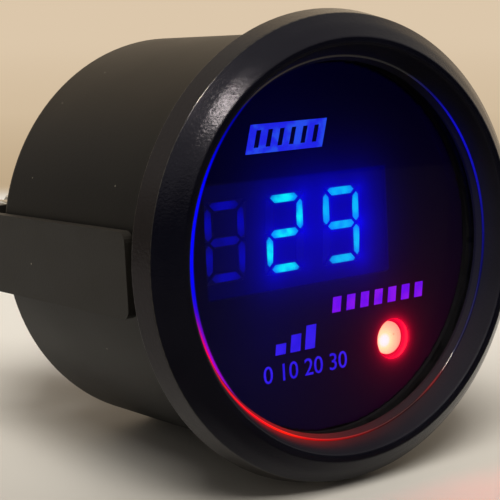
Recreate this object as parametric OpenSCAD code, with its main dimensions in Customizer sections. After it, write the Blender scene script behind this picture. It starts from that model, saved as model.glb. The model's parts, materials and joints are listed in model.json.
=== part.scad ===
// Digital boost gauge for a round panel hole: case, bezel and window, lit display stack,
// pressure sensor with hose nipple, and a clamp bracket drawn up by two thumb nuts.
// The gauge's axis lies along Y. The face looks to -Y, up is +Z, and y = 0 is the seat of the bezel.

/* [Case] */
// Outside diameter of the case
case_d = 52; // [48:0.5:56]
// Thickness of the case's side wall
case_wall = 1.8; // [1.4:0.1:2.2]
// Depth of the case behind the panel seat
case_depth = 35.8; // [34:0.2:42]
// Thickness of the case's rear wall
rear_wall = 2; // [1.6:0.1:2.6]
// Rounding of the case's rear edge
case_edge_r = 1; // [0.4:0.1:1.6]
// Height of the snap bead round the front of the case
bead_h = 0.35; // [0.2:0.05:0.5]
// Width of the snap bead along the axis
bead_w = 0.5; // [0.3:0.05:0.6]

/* [Bezel] */
// How far the bezel's flange stands out past the case
flange_w = 2.7; // [2.2:0.1:4]
// Height of the bezel's side band
band_h = 2.85; // [2.2:0.05:3.4]
// How much the side band draws in towards the face
band_draft = 0.65; // [0.2:0.05:1]
// Height of the crest in front of the panel seat
bezel_h = 5.2; // [4.6:0.1:6]
// Rounding of the crease between the side band and the face
crease_r = 0.5; // [0.2:0.1:0.8]
// Rounding of the crest
crest_r = 0.6; // [0.3:0.1:0.8]
// Bulge of the bezel's face
face_bulge = 0.12; // [0.04:0.02:0.3]
// Radial width of the sloping inner wall
slope_w = 1.2; // [0.8:0.1:1.6]
// Radial width of the ledge in front of the window
ledge_w = 0.6; // [0.3:0.1:0.9]
// Depth of the ledge in front of the window
ledge_h = 0.7; // [0.4:0.1:1]
// Thickness of the lip that holds the window
lip_t = 0.4; // [0.3:0.05:0.7]
// How far the lip covers the rim of the window
lip_cover = 1.6; // [1.2:0.1:2.2]

/* [Window and face] */
// How far the window's front lies ahead of the panel seat
window_lead = 1.3; // [1:0.05:1.6]
// Thickness of the window
window_t = 1.5; // [1:0.1:2]
// Bevel round the window's front edge
window_bevel = 0.25; // [0.1:0.05:0.4]
// Thickness of the gasket behind the window
gasket_t = 0.6; // [0.4:0.1:1]
// Thickness of the printed face plate
face_t = 0.5; // [0.3:0.1:0.8]
// Thickness of the diffuser sheet
diffuser_t = 0.4; // [0.2:0.1:0.8]
// Depth of the light box
box_h = 6.3; // [5.5:0.1:8]
// Wall thickness of the light box
box_wall = 1; // [0.8:0.1:1.3]

/* [Display] */
// Number shown on the display
shown_number = 29; // [10:1:99]
// Opening left of the first digit
margin_left = 0.3; // [0.2:0.1:1]
// Opening right of the last digit
margin_right = 4; // [3:0.1:5]
// Opening above and below the digits
margin_h = 1.9; // [1.4:0.1:2.4]
// Distance from the opening's upper left corner to the rim of the face plate
display_inset = 3.84; // [3.4:0.02:4.6]
// Height of the display's centre above the axis
display_z = 2.45; // [1.5:0.05:3]
// How far the display's housing reaches past the opening
housing_rim = 0.7; // [0.4:0.1:1]
// Distance from digit to digit
digit_pitch = 8.75; // [8:0.05:9]
// Width of a digit
digit_w = 5.8; // [5:0.1:6.2]
// Height of a digit
digit_h = 9.5; // [8.5:0.1:10.5]
// Width of a light bar
bar_w = 1.15; // [0.9:0.05:1.4]
// Gap at the mitred ends of the light bars
bar_gap = 0.28; // [0.2:0.02:0.4]
// Lean of the digits in degrees
digit_lean = 4; // [0:1:8]

/* [Warning lamp] */
// Distance from the lamp's centre to the edge of the visible window
lamp_inset = 6.3; // [5.8:0.1:7]
// Direction of the lamp from the axis, in degrees below the level line
lamp_turn = 52.8; // [50:0.2:56]
// Diameter of the hole in the face plate
lamp_hole_d = 5.2; // [4.8:0.1:5.8]
// Diameter of the lamp's body
lamp_d = 4; // [3.6:0.1:4.4]
// Width of the flange at the foot of the lamp
lamp_flange = 0.4; // [0.3:0.1:0.5]

/* [Boards] */
// Thickness of the circuit boards
board_t = 1.6; // [1.2:0.1:2]
// Room between the main board and the rear wall
rear_room = 12.6; // [12.2:0.1:13.4]
// Distance from the board screws to the inside of the case
screw_inset = 4.2; // [3.8:0.1:4.6]
// Diameter of the board screws
screw_d = 2.5; // [2:0.1:2.8]
// Height of the screw heads
screw_head_h = 1.6; // [1.2:0.1:2]

/* [Bracket and nuts] */
// Width of the bracket's strip
strip_w = 10; // [8:0.5:10.5]
// Thickness of the bracket's strip
strip_t = 1.2; // [1:0.1:1.6]
// Gap between the case and the bracket's legs
leg_gap = 0.8; // [0.5:0.1:1.4]
// Gap left for the panel between the bezel and the legs
panel_gap = 2.2; // [2.1:0.1:4]
// Room between the case and the bracket's back
back_gap = 6.2; // [5:0.1:9]
// Inner radius of the bracket's bends
bend_r = 2; // [1:0.1:3]
// Distance of each stud from the axis
stud_x = 15; // [14:0.1:16]
// Diameter of the studs
stud_d = 4; // [3:0.1:5]
// How far the studs stand out of the case
stud_out = 24; // [22.6:0.1:28]
// Diameter of the thumb nuts
nut_d = 11; // [10:0.1:12]
// Height of the thumb nuts' knurled head
nut_head_h = 4.5; // [3.5:0.1:5]
// Height of the thumb nuts' collar
nut_collar_h = 2.5; // [1.5:0.1:3]
// Number of flutes round a thumb nut
flute_count = 28; // [20:2:36]

/* [Hose and wire inlets] */
// Height of the hose nipple below the axis
nipple_z = -12; // [-12.4:0.1:-11.6]
// Diameter of the nipple's barbs
barb_d = 5; // [4:0.1:6]
// Bore of the nipple
nipple_bore = 2; // [1.4:0.1:2.2]
// Number of barbs
barb_count = 3; // [2:1:4]
// Length of one barb
barb_l = 3; // [2.4:0.1:3.6]
// Distance from the wire inlet to the inside of the case
inlet_inset = 12.8; // [12.4:0.1:13.2]
// Bore of the wire grommet
inlet_d = 4.6; // [4.2:0.1:5]

/* [Hidden] */
$fn = 96;

// Clearances, and the overrun of every cut
fit = 0.1;
thread_fit = 0.05;
over = 0.5;

// Radii that follow the case
case_r = case_d / 2;
inner_r = case_r - case_wall;
stack_r = inner_r - fit;
flange_r = case_r + flange_w;
sight_r = stack_r - lip_cover;
slope_foot_r = sight_r + ledge_w;
slope_top_r = slope_foot_r + slope_w;
screw_circle_r = inner_r - screw_inset;

// Places along the axis, from the front to the rear
window_y = -window_lead;
gasket_y = window_y + window_t;
face_y = gasket_y + gasket_t;
diffuser_y = face_y + face_t;
box_y = diffuser_y + diffuser_t;
board_y = box_y + box_h;
board_back_y = board_y + board_t;
rear_y = case_depth - rear_wall;
main_back_y = rear_y - rear_room;
main_y = main_back_y - board_t;
spacer_h = main_y - board_back_y;

// Board screws, their heads, spacers and bosses
screw_r = screw_d / 2;
screw_angles = [90, 210, 330];
screw_head_share = 1.9;
screw_head_r = screw_head_share * screw_r;
screw_grip = 8;
boss_wall = 1.7;
boss_r = screw_r + boss_wall;
rib_t = 1.2;

// Display: its opening, its place, its housing and its contacts
row_w = 2 * digit_pitch + digit_w;
opening_w = margin_left + row_w + margin_right;
opening_h = digit_h + 2 * margin_h;
corner_reach = stack_r - display_inset;
display_x = opening_w / 2 - sqrt(pow(corner_reach, 2) - pow(display_z + opening_h / 2, 2));
row_x = (margin_left - margin_right) / 2;
housing_w = opening_w + 2 * housing_rim;
housing_h = opening_h + 2 * housing_rim;
housing_depth = board_y - diffuser_y;
well_floor = 1.6;
well_depth = housing_depth - well_floor;
contact_pitch = 2.54;
contact_count = 6;
contact_r = 0.25;
contact_inset = 1.2;
contact_tail = 1.4;
corner_r = 0.6;

// Places behind the lit marks of the face plate, as shares of the visible window's radius
top_mark_shares = [-0.249, 0.62];
top_mark_size = [12.4, 3.8];
upper_mark_shares = [0.342, -0.318];
upper_mark_size = [15.6, 2.1];
middle_mark_shares = [-0.244, -0.462];
middle_mark_size = [6.6, 2.4];
lower_mark_shares = [-0.196, -0.649];
lower_mark_size = [13.2, 2.4];
marks = [[sight_r * top_mark_shares, top_mark_size], [sight_r * upper_mark_shares, upper_mark_size],
    [sight_r * middle_mark_shares, middle_mark_size], [sight_r * lower_mark_shares, lower_mark_size]];
chip_lamp = [1.6, 0.8, 0.8];

// Lamp parts
lamp_r = lamp_d / 2;
lamp_x = (sight_r - lamp_inset) * cos(lamp_turn);
lamp_z = -(sight_r - lamp_inset) * sin(lamp_turn);
lamp_tube_wall = 0.8;
lamp_flange_h = 0.9;
lamp_tip_gap = 0.5;
lead_pitch = 2.54;
lead_t = 0.5;

// Header between the boards
header_inset = 7.1;
header_x = stack_r - header_inset;
header_z = 3;
header_count = 5;
header_w = 2.5;
header_pin_t = 0.64;
header_tail = 0.9;

// Parts on the boards: places as shares of the boards' radius, then sizes along x, y and z
driver_size = [3.9, 1.6, 9.9];
controller_shares = [-0.125, 0.083];
controller_size = [10, 1.5, 10];
regulator_shares = [-0.56, 0.1];
regulator_size = [6.5, 2.3, 6.1];
capacitor_d = 6.3;
capacitor_h = 7.7;
capacitor_base = 6.6;
capacitor_gap = 1.1;
capacitor_share = 0.548;
chip_part = [2, 0.6, 1.25];
chip_row_shares = [-0.249, -0.125];
chip_row_count = 5;
chip_row_step = 2.4;
sensor_size = [8, 4, 8];
port_r = 1.3;
port_h = 2.2;
tube_wall = 0.9;
wire_header_size = [10, 6, 5.8];

// Studs, washers, nuts
stud_r = stud_d / 2;
stud_head_h = 1.2;
stud_head_w = 1.4;
stud_head_r = stud_r + stud_head_w;
stud_end_y = case_depth + stud_out;
stud_chamfer = 0.5;
pad_h = 0.8;
pad_w = 2.2;
pad_r = stud_r + pad_w;
leg_x = case_r + leg_gap;
back_y = case_depth + back_gap;
strip_end_r = 1.2;
slot_play = 0.3;
slot_length = 1;
washer_t = 0.8;
washer_w = 2.6;
washer_r = stud_r + washer_w;
lock_t = 1;
lock_w = 1.5;
lock_split = 0.8;
washer_y = back_y + strip_t;
lock_y = washer_y + washer_t;
nut_y = lock_y + lock_t;
nut_r = nut_d / 2;
nut_step = 1.6;
nut_collar_r = nut_r - nut_step;
flute_r = 0.45;
nut_edge = 0.5;

// Nipple and grommet
nipple_thread_h = 0.45;
nipple_thread_r = barb_d / 2 + nipple_thread_h;
barb_h = 0.7;
nipple_root_r = barb_d / 2 - barb_h;
nipple_hex_w = 1.9;
nipple_hex_r = nipple_thread_r + nipple_hex_w;
nipple_hex_h = 3;
nipple_nut_h = 2.6;
nipple_thread_in = 3.4;
seal_t = 0.8;
seal_w = 1.5;
seal_r = nipple_thread_r + seal_w;
spigot_gap = 0.3;
inlet_r = inlet_d / 2;
inlet_z = inner_r - inlet_inset;
grommet_wall = 1.3;
grommet_flange_w = 1.2;
grommet_flange_t = 1.5;
grommet_waist_r = inlet_r + grommet_wall;
grommet_r = grommet_waist_r + grommet_flange_w;

// Small sizes of single pieces
crest_w = 0.9;
seat_edge_r = 0.12;
face_round = 8;
bead_y = window_y / 2;
spacer_wall = 1.4;
spacer_r = screw_r + spacer_wall;
lamp_steps = 8;
header_pin_r = header_pin_t / 2;
header_base_h = 2.5;
lead_foot = 1;
lead_rise = 0.9;
lead_pad = 0.42;
driver_leads = 7;
driver_pitch = 1.27;
controller_leads = 8;
controller_pitch = 1;
sensor_leads = 3;
regulator_tab_w = 5.2;
regulator_tab_t = 0.6;
regulator_tab_l = 1.4;
regulator_lead_l = 2.4;
capacitor_base_h = 1.6;
nipple_neck = 1.2;
barb_rise = 0.4;
grommet_edge = 0.5;

// Unit vector of v
function unit(v) = v / norm(v);

// Round stretch of n steps that replaces the corner q of an outline, which has q's third value as radius
function corner(p, q, s, n = 5) =
    q[2] == 0 ? [[q[0], q[1]]] :
    let (
        at = [q[0], q[1]],
        u = unit([p[0], p[1]] - at),
        v = unit([s[0], s[1]] - at),
        half = acos(u * v) / 2,
        middle = at + unit(u + v) * q[2] / sin(half),
        from = at + u * q[2] / tan(half) - middle,
        to = at + v * q[2] / tan(half) - middle,
        a = atan2(from[1], from[0]),
        raw = atan2(to[1], to[0]) - a,
        turn = raw > 180 ? raw - 360 : raw < -180 ? raw + 360 : raw
    )
    [for (i = [0 : n]) middle + q[2] * [cos(a + turn * i / n), sin(a + turn * i / n)]];

// Outline through points [x, y, corner radius]
function rounded(points) =
    let (n = len(points))
    [for (i = [0 : n - 1]) each corner(points[(i + n - 1) % n], points[i], points[(i + 1) % n])];

// Solid of revolution about the gauge's axis, from a profile in radius and place along the axis
module turned() {
    rotate([-90, 0, 0]) rotate_extrude() children();
}

// Round rod along the axis
module rod(r, y, l) {
    translate([0, y, 0]) rotate([-90, 0, 0]) cylinder(r = r, h = l);
}

// Hexagonal rod along the axis, r at its corners
module hex_rod(r, y, l) {
    translate([0, y, 0]) rotate([-90, 0, 0]) cylinder(r = r, h = l, $fn = 6);
}

// Flat plate from an outline drawn as seen from the front, in x and z
module plate(y, t) {
    translate([0, y + t, 0]) rotate([90, 0, 0]) linear_extrude(t) children();
}

// Block centred in x and z
module block(size, y) {
    translate([-size[0] / 2, y, -size[2] / 2]) cube(size);
}

// Rectangle with round corners
module round_rect(w, h, r) {
    square([w - 2 * r, h], center = true);
    square([w, h - 2 * r], center = true);
    for (sx = [-1, 1], sy = [-1, 1]) translate([sx * (w / 2 - r), sy * (h / 2 - r)]) circle(r);
}

// Repeats its children at the board screws
module at_screws() {
    for (a = screw_angles) translate([screw_circle_r * cos(a), 0, screw_circle_r * sin(a)]) children();
}

// Repeats its children at both studs
module at_studs() {
    for (s = [-1, 1]) translate([s * stud_x, 0, 0]) children();
}

// Moves its children to a place [x, z] across the axis
module at(place) {
    translate([place[0], 0, place[1]]) children();
}

// Case: a deep cup with a snap bead, three ribbed screw bosses and raised pads on its rear wall

module screw_boss_rib() {
    foot = screw_circle_r + screw_r + thread_fit;
    translate([foot, main_back_y + rib_t, -rib_t / 2])
        cube([inner_r + case_wall / 2 - foot, rear_y + rear_wall / 2 - main_back_y - rib_t, rib_t]);
}

module case_cup() {
    turned() polygon(rounded([
        [inner_r, window_y, 0], [case_r, window_y, 0],
        [case_r, case_depth, case_edge_r], [0, case_depth, 0],
        [0, rear_y, 0], [inner_r, rear_y, case_edge_r / 2]
    ]));
    turned() polygon([
        [case_r - bead_h, bead_y - bead_w / 2], [case_r, bead_y - bead_w / 2],
        [case_r + bead_h, bead_y], [case_r, bead_y + bead_w / 2], [case_r - bead_h, bead_y + bead_w / 2]
    ]);
}

module case() {
    color("#2b2724") difference() {
        union() {
            case_cup();
            at_screws() rod(boss_r, main_back_y, rear_y + rear_wall / 2 - main_back_y);
            for (a = screw_angles) rotate([0, -a, 0]) screw_boss_rib();
            at_studs() rod(pad_r, rear_y + rear_wall / 2, rear_wall / 2 + pad_h);
            at([0, nipple_z]) rod(seal_r, rear_y + rear_wall / 2, rear_wall / 2 + pad_h);
        }
        at_screws() rod(screw_r + thread_fit, main_back_y - over, screw_grip + over);
        at_studs() rod(stud_r + thread_fit, rear_y - over, rear_wall + pad_h + 2 * over);
        at([0, nipple_z]) rod(nipple_thread_r + fit, rear_y - over, rear_wall + pad_h + 2 * over);
        at([0, inlet_z]) rod(grommet_waist_r + fit, rear_y - over, rear_wall + 2 * over);
    }
}

// Bezel: side band, bulged face, crest, sloping inner wall, ledge and lip, with a groove for the bead

module bezel_ring() {
    band_r = flange_r - band_draft;
    crest_out_r = slope_top_r + crest_w;
    face_out = unit([bezel_h - band_h, crest_out_r - band_r]);
    face_mid = ([band_r, -band_h] + [crest_out_r, -bezel_h]) / 2 + face_bulge * face_out;
    groove_w = bead_w / 2 + bead_h;
    color("#26262a") turned() polygon(rounded([
        [case_r + fit, 0, 0], [flange_r, 0, seat_edge_r],
        [band_r, -band_h, crease_r], [face_mid[0], face_mid[1], face_round],
        [crest_out_r, -bezel_h, crest_r], [slope_top_r, -bezel_h, crest_r],
        [slope_foot_r, window_y - lip_t - ledge_h, 0], [sight_r, window_y - lip_t, 0],
        [sight_r, window_y, 0], [case_r + fit, window_y, 0], [case_r + fit, bead_y - groove_w, 0],
        [case_r + fit + bead_h, bead_y - bead_w / 2, 0], [case_r + fit + bead_h, bead_y + bead_w / 2, 0],
        [case_r + fit, bead_y + groove_w, 0]
    ]));
}

// Window, gasket, printed face plate and diffuser sheet

module window() {
    color("#20263a", 0.6) turned() polygon([
        [0, window_y], [stack_r - window_bevel, window_y], [stack_r, window_y + window_bevel],
        [stack_r, gasket_y], [0, gasket_y]
    ]);
}

module window_gasket() {
    color("#161616") plate(gasket_y, gasket_t) difference() {
        circle(stack_r);
        circle(sight_r + fit);
    }
}

module face_plate() {
    color("#0a0b14") plate(face_y, face_t) difference() {
        circle(stack_r);
        translate([display_x, display_z]) round_rect(opening_w, opening_h, corner_r);
        translate([lamp_x, lamp_z]) circle(lamp_hole_d / 2);
    }
}

module legend_diffuser() {
    color("#dfe6f2") plate(diffuser_y, diffuser_t) difference() {
        circle(stack_r);
        translate([display_x, display_z]) square([housing_w + 2 * fit, housing_h + 2 * fit], center = true);
        translate([lamp_x, lamp_z]) circle(lamp_hole_d / 2);
    }
}

// Light box: a ring and a web, a pocket for the display, a tube for the lamp and a chamber for each mark

module light_box() {
    tube_r = lamp_r + lamp_flange + fit;
    color("#1a1a1c") difference() {
        union() {
            plate(box_y, box_wall) circle(stack_r);
            plate(box_y, box_h) difference() {
                circle(stack_r);
                circle(stack_r - box_wall);
            }
            plate(box_y, box_h) intersection() {
                circle(stack_r);
                union() {
                    translate([display_x, display_z])
                        square([housing_w + 2 * (fit + box_wall), housing_h + 2 * (fit + box_wall)], center = true);
                    translate([lamp_x, lamp_z]) circle(tube_r + lamp_tube_wall);
                    for (m = marks) translate(m[0])
                        square([m[1][0] + 2 * box_wall, m[1][1] + 2 * box_wall], center = true);
                }
            }
        }
        at([display_x, display_z])
            block([housing_w + 2 * fit, box_h + 2 * over, housing_h + 2 * fit], box_y - over);
        at([lamp_x, lamp_z]) rod(tube_r, box_y - over, box_h + 2 * over);
        for (m = marks) at(m[0]) block([m[1][0], box_h + 2 * over, m[1][1]], box_y - over);
        at_screws() rod(screw_head_r + fit, board_y - screw_head_h - fit, screw_head_h + fit + over);
    }
}

// Display: a housing with a well for each light bar, and bars mitred where they meet

function mirrored(points, sx, sz) = [for (p = points) [sx * p[0], sz * p[1]]];

// Outline of light bar k of a digit, clockwise from the top bar, with the middle bar last
function bar_outline(k, w, h, b, g) =
    let (
        level = [[g - w / 2, h / 2], [w / 2 - g, h / 2],
            [w / 2 - b - g, h / 2 - b], [b + g - w / 2, h / 2 - b]],
        upright = [[w / 2, h / 2 - g], [w / 2, g], [w / 2 - b / 2, g], [w / 2 - b, g + b / 2],
            [w / 2 - b, h / 2 - b - g]],
        tip = w / 2 - b / 2 - g
    )
    k == 0 ? level : k == 1 ? upright : k == 2 ? mirrored(upright, 1, -1) :
    k == 3 ? mirrored(level, 1, -1) : k == 4 ? mirrored(upright, -1, -1) :
    k == 5 ? mirrored(upright, -1, 1) :
    [[tip, 0], [tip - b / 2, b / 2], [b / 2 - tip, b / 2],
        [-tip, 0], [b / 2 - tip, -b / 2], [tip - b / 2, -b / 2]];

function leaned(points) = [for (p = points) [p[0] + p[1] * tan(digit_lean), p[1]]];

// Light bars that each figure shows, in the order of bar_outline
figure_bars = ["abcdef", "bc", "abged", "abgcd", "fgbc", "afgcd", "afgecd", "abc", "abcdefg", "abcdfg"];

function figure_at(place) = place == 1 ? floor(shown_number / 10) : shown_number % 10;

function is_lit(place, k) = place > 0 && len(search("abcdefg"[k], figure_bars[figure_at(place)])) > 0;

// One light bar or its well, larger all round by the given clearance
module bar(place, k, clearance, y, l) {
    plate(y, l) translate([display_x + row_x + (place - 1) * digit_pitch, display_z])
        polygon(leaned(bar_outline(k, digit_w + 2 * clearance, digit_h + 2 * clearance,
            bar_w + 2 * clearance, bar_gap - clearance)));
}

module display_housing() {
    color("#11142c") difference() {
        at([display_x, display_z]) block([housing_w, housing_depth, housing_h], diffuser_y);
        for (place = [0 : 2], k = [0 : 6]) bar(place, k, thread_fit, diffuser_y - over, well_depth + over);
    }
}

module light_bars(lit) {
    for (place = [0 : 2], k = [0 : 6]) if (is_lit(place, k) == lit) bar(place, k, 0, diffuser_y, well_depth);
}

module lit_segments() {
    color("#00c8ff") light_bars(true);
}

module unlit_segments() {
    color("#0a0c5a") light_bars(false);
}

module at_contacts() {
    for (i = [0 : contact_count - 1], s = [-1, 1])
        at([display_x + (i - (contact_count - 1) / 2) * contact_pitch,
            display_z + s * (housing_h / 2 - contact_inset)]) children();
}

module display_pins() {
    color("#c9ccd0") at_contacts() rod(contact_r, board_y, board_t + contact_tail);
}

// Warning lamp with its leads, and the chip lamps behind the marks

module warning_lamp() {
    dome_y = face_y + lamp_tip_gap + lamp_r;
    flange_y = board_y - lamp_flange_h;
    color("#ff3020") at([lamp_x, lamp_z]) turned() polygon([
        [0, board_y], [lamp_r + lamp_flange, board_y], [lamp_r + lamp_flange, flange_y], [lamp_r, flange_y],
        for (i = [0 : lamp_steps]) let (a = 90 * i / lamp_steps) [lamp_r * cos(a), dome_y - lamp_r * sin(a)]
    ]);
}

module at_leads() {
    for (s = [-1, 1]) at([lamp_x + s * lead_pitch / 2, lamp_z]) children();
}

module lamp_leads() {
    color("#c9ccd0") at_leads() block([lead_t, board_t + contact_tail, lead_t], board_y);
}

module legend_lamps() {
    color("#f2f0d8") for (m = marks, s = [-1, 1])
        at([m[0][0] + s * m[1][0] / 4, m[0][1]]) block(chip_lamp, board_y - chip_lamp[1]);
}

// Display board with its driver, and the header to the main board

module board(y) {
    plate(y, board_t) difference() {
        circle(stack_r);
        for (a = screw_angles) rotate(a) translate([screw_circle_r, 0]) circle(screw_r + fit);
        for (i = [0 : header_count - 1]) translate([header_x, header_pin_z(i)]) circle(header_pin_r + fit);
    }
}

module display_board() {
    color("#123d24") difference() {
        board(board_y);
        at_contacts() rod(contact_r + fit, board_y - over, board_t + 2 * over);
        at_leads() rod(lead_t, board_y - over, board_t + 2 * over);
    }
}

// Row of gull-wing leads on both sides of a chip
module chip_leads(size, y, count, pitch) {
    for (i = [0 : count - 1], s = [-1, 1])
        at([s * (size[0] + lead_foot) / 2, (i - (count - 1) / 2) * pitch])
            block([lead_foot, lead_rise, lead_pad], y);
}

module display_driver() {
    color("#202022") at([display_x, display_z]) {
        block(driver_size, board_back_y);
        chip_leads(driver_size, board_back_y, driver_leads, driver_pitch);
    }
}

function header_pin_z(i) = header_z + (i - (header_count - 1) / 2) * contact_pitch;

module header_housing() {
    size = [header_w, header_base_h, header_count * contact_pitch];
    socket = [header_w, spacer_h - header_base_h - fit, header_count * contact_pitch];
    color("#1d1d1f") difference() {
        union() {
            at([header_x, header_z]) block(size, board_back_y);
            at([header_x, header_z]) block(socket, main_y - socket[1]);
        }
        for (i = [0 : header_count - 1])
            at([header_x, header_pin_z(i)])
                rod(header_pin_r + thread_fit, board_back_y - over, spacer_h + 2 * over);
    }
}

module header_pins() {
    color("#d8b45a") for (i = [0 : header_count - 1])
        at([header_x, header_pin_z(i)])
            rod(header_pin_r, board_y - header_tail, 2 * board_t + spacer_h + 2 * header_tail);
}

module board_spacers() {
    color("#c8a24a") at_screws() difference() {
        hex_rod(spacer_r, board_back_y, spacer_h);
        rod(screw_r + fit, board_back_y - over, spacer_h + 2 * over);
    }
}

module board_screws() {
    color("#8d9196") at_screws() {
        rod(screw_head_r, board_y - screw_head_h, screw_head_h);
        rod(screw_r, board_y, main_back_y + screw_grip - over - board_y);
    }
}

// Main board and what it carries

module main_board() {
    color("#123d24") board(main_y);
}

module controller_chip() {
    y = main_y - controller_size[1];
    color("#202022") at(stack_r * controller_shares) {
        block(controller_size, y);
        for (turn = [0, 90]) rotate([0, turn, 0])
            chip_leads(controller_size, main_y - lead_rise, controller_leads, controller_pitch);
    }
}

module voltage_regulator() {
    color("#26262a") at(stack_r * regulator_shares) {
        block(regulator_size, main_back_y);
        at([0, (regulator_size[2] + regulator_tab_l) / 2])
            block([regulator_tab_w, regulator_tab_t, regulator_tab_l], main_back_y);
        for (s = [-1, 1]) at([s * contact_pitch, -(regulator_size[2] + regulator_lead_l) / 2])
            block([lead_foot, lead_rise, regulator_lead_l], main_back_y);
    }
}

module filter_capacitors() {
    place_x = (wire_header_size[0] + capacitor_base) / 2 + capacitor_gap;
    color("#b9bcc0") for (s = [-1, 1]) at([s * place_x, stack_r * capacitor_share]) {
        block([capacitor_base, capacitor_base_h, capacitor_base], main_back_y);
        rod(capacitor_d / 2, main_back_y + capacitor_base_h, capacitor_h - capacitor_base_h);
    }
}

module chip_parts() {
    color("#a98d6a") for (i = [0 : chip_row_count - 1])
        at(stack_r * chip_row_shares) at([i * chip_row_step, 0]) block(chip_part, main_back_y);
}

module pressure_sensor() {
    color("#2c2c30") at([0, nipple_z]) {
        block(sensor_size, main_back_y);
        rod(port_r, main_back_y + sensor_size[1], port_h);
        chip_leads(sensor_size, main_back_y, sensor_leads, contact_pitch);
    }
}

// Hose nipple: inner tube, thread and nut through the rear wall, seal, hexagon and barbs

module sensor_tube() {
    y = main_back_y + sensor_size[1];
    color("#d8d4cc", 0.8) at([0, nipple_z]) difference() {
        rod(port_r + thread_fit + tube_wall, y, rear_y - nipple_thread_in - y);
        rod(port_r + thread_fit, y - over, rear_y - nipple_thread_in - y + 2 * over);
    }
}

module hose_nipple() {
    spigot_y = main_back_y + sensor_size[1] + port_h + spigot_gap;
    hex_y = case_depth + pad_h + seal_t;
    barb_y = hex_y + nipple_hex_h + nipple_neck;
    color("#c9a24e") at([0, nipple_z]) difference() {
        union() {
            rod(port_r, spigot_y, rear_y - nipple_thread_in - spigot_y);
            rod(nipple_thread_r, rear_y - nipple_thread_in, hex_y - rear_y + nipple_thread_in);
            hex_rod(nipple_hex_r, hex_y, nipple_hex_h);
            rod(nipple_root_r, hex_y + nipple_hex_h, nipple_neck);
            for (i = [0 : barb_count - 1]) turned() translate([0, barb_y + i * barb_l]) polygon([
                [0, 0], [nipple_root_r, 0], [barb_d / 2, barb_rise], [nipple_root_r, barb_l], [0, barb_l]
            ]);
        }
        rod(nipple_bore / 2, spigot_y - over, barb_y + barb_count * barb_l - spigot_y + 2 * over);
    }
}

module nipple_nut() {
    color("#c9a24e") at([0, nipple_z]) difference() {
        hex_rod(nipple_hex_r, rear_y - nipple_nut_h, nipple_nut_h);
        rod(nipple_thread_r + thread_fit, rear_y - nipple_nut_h - over, nipple_nut_h + 2 * over);
    }
}

module nipple_seal() {
    color("#151515") at([0, nipple_z]) plate(case_depth + pad_h, seal_t) difference() {
        circle(seal_r);
        circle(nipple_thread_r + thread_fit);
    }
}

// Wire inlet: a rubber grommet in the rear wall, and the header inside that the wires plug on to

module wire_grommet() {
    y = rear_y - grommet_flange_t;
    color("#161616") at([0, inlet_z]) turned() polygon(rounded([
        [inlet_r, y, 0], [grommet_r, y, grommet_edge], [grommet_r, rear_y, 0],
        [grommet_waist_r, rear_y, 0], [grommet_waist_r, case_depth, 0],
        [grommet_r, case_depth, 0], [grommet_r, case_depth + grommet_flange_t, grommet_edge],
        [inlet_r, case_depth + grommet_flange_t, 0]
    ]));
}

module wire_header() {
    inner = wire_header_size - [2 * box_wall, 0, 2 * box_wall];
    color("#e8e2d2") at([0, inlet_z]) {
        difference() {
            block(wire_header_size, main_back_y);
            block([inner[0], wire_header_size[1], inner[2]], main_back_y + box_wall);
        }
        for (i = [-1, 0, 1]) at([i * contact_pitch, 0])
            rod(header_pin_r, main_back_y + box_wall / 2, wire_header_size[1] - box_wall);
    }
}

// Studs fixed in the rear wall, and what is clamped on to them

module mounting_studs() {
    color("#9a9da2") at_studs() turned() polygon([
        [0, rear_y - stud_head_h], [stud_head_r, rear_y - stud_head_h], [stud_head_r, rear_y],
        [stud_r, rear_y], [stud_r, stud_end_y - stud_chamfer], [stud_r - stud_chamfer, stud_end_y],
        [0, stud_end_y]
    ]);
}

module bracket() {
    out_x = leg_x + strip_t;
    bend_out = bend_r + strip_t;
    color("#2a2826") difference() {
        intersection() {
            translate([0, 0, -strip_w / 2]) linear_extrude(strip_w) polygon(rounded([
                [-out_x, panel_gap, 0], [-leg_x, panel_gap, 0], [-leg_x, back_y, bend_r],
                [leg_x, back_y, bend_r], [leg_x, panel_gap, 0], [out_x, panel_gap, 0],
                [out_x, washer_y, bend_out], [-out_x, washer_y, bend_out]
            ]));
            translate([-out_x - over, 0, 0]) rotate([90, 0, 90]) linear_extrude(2 * (out_x + over))
                polygon(rounded([
                    [panel_gap, -strip_w / 2, strip_end_r], [washer_y + over, -strip_w / 2, 0],
                    [washer_y + over, strip_w / 2, 0], [panel_gap, strip_w / 2, strip_end_r]
                ]));
        }
        at_studs() {
            for (s = [-1, 1]) translate([s * slot_length / 2, 0, 0])
                rod(stud_r + slot_play, back_y - over, strip_t + 2 * over);
            block([slot_length, strip_t + 2 * over, 2 * (stud_r + slot_play)], back_y - over);
        }
    }
}

module flat_washers() {
    color("#8f9297") at_studs() plate(washer_y, washer_t) difference() {
        circle(washer_r);
        circle(stud_r + slot_play);
    }
}

module lock_washers() {
    color("#7c7f84") at_studs() difference() {
        plate(lock_y, lock_t) difference() {
            circle(stud_r + slot_play + lock_w);
            circle(stud_r + slot_play);
        }
        translate([0, lock_y - over, -lock_split / 2])
            cube([stud_r + slot_play + lock_w + over, lock_t + 2 * over, lock_split]);
    }
}

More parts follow.
